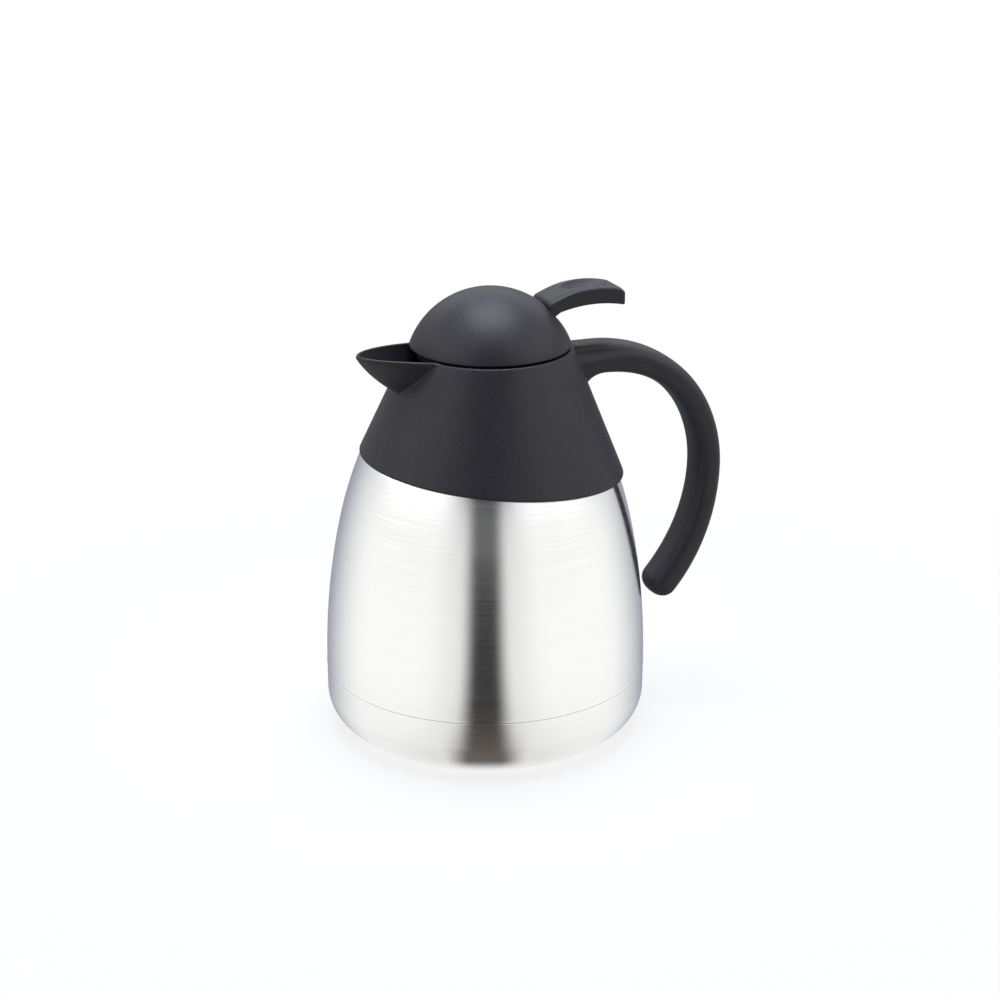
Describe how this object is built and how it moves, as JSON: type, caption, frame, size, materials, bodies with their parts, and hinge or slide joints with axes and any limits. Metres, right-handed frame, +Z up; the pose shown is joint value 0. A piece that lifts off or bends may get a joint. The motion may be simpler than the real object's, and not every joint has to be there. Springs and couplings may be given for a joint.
{
  "type": "insulated coffee pot",
  "caption": "Double-walled steel coffee pot with a conical black plastic shoulder, pouring spout, open handle and a domed screw lid whose thumb lever lifts a sprung pouring valve.",
  "frame": {"origin": "middle of the base on the body's axis, on the plane that the pot stands on", "axes": "+Z up along the body, +X towards the handle, -X towards the spout, XZ is the mirror plane"},
  "size_m": [0.1818, 0.14, 0.1945],
  "materials": {
    "steel": "fine brushing round the body",
    "inner_steel": "plain satin",
    "black_plastic": "fine-grained matt moulding",
    "valve_plastic": "plain moulding",
    "silicone": "translucent grey-white",
    "base_plate": "matt disc",
    "glass_bead": "fused bead",
    "zinc": "zinc plated",
    "spring_steel": "drawn wire"
  },
  "bodies": {
    "jug": {"outer_shell": "steel", "base_cup": "steel", "inner_flask": "inner_steel", "flask_bottom": "inner_steel", "getter": "inner_steel", "vacuum_seal": "glass_bead", "base_plate": "base_plate", "neck_gasket": "silicone", "shoulder": "black_plastic", "handle": "black_plastic", "handle_screws": "zinc"},
    "lid_seal": {"lid_gasket": "silicone"},
    "lid": {"stopper": "black_plastic", "guide_plate": "black_plastic", "stem_oring": "silicone", "lid_dome": "black_plastic", "lever_pin": "zinc", "valve_spring": "spring_steel"},
    "lever": {"lever": "black_plastic"},
    "valve": {"valve_stem": "valve_plastic", "valve_seal": "silicone", "stem_cap": "valve_plastic"}
  },
  "joints": [
    {"name": "lid_lift", "type": "slide", "parent": "jug", "child": "lid_seal", "axis": [0, 0, 1], "range_m": [0, 0.06]},
    {"name": "lid_turn", "type": "hinge", "parent": "lid_seal", "child": "lid", "pos_m": [0.0023, 0, 0.17], "axis": [0, 0, 1], "range_deg": [0, 90]},
    {"name": "lever_press", "type": "hinge", "parent": "lid", "child": "lever", "pos_m": [0.0194, 0, 0.17933], "axis": [0, 1, 0], "range_deg": [0, 12], "stiffness_Nm_per_rad": 0.4, "springref_deg": -14.32},
    {"name": "valve_lift", "type": "slide", "parent": "lid", "child": "valve", "axis": [0, 0, 1], "range_m": [0, 0.0038], "deforming": ["valve_spring"]}
  ],
  "couplings": [
    {"joint": "valve_lift", "follows": "lever_press", "m_per_rad": 0.0171}
  ]
}
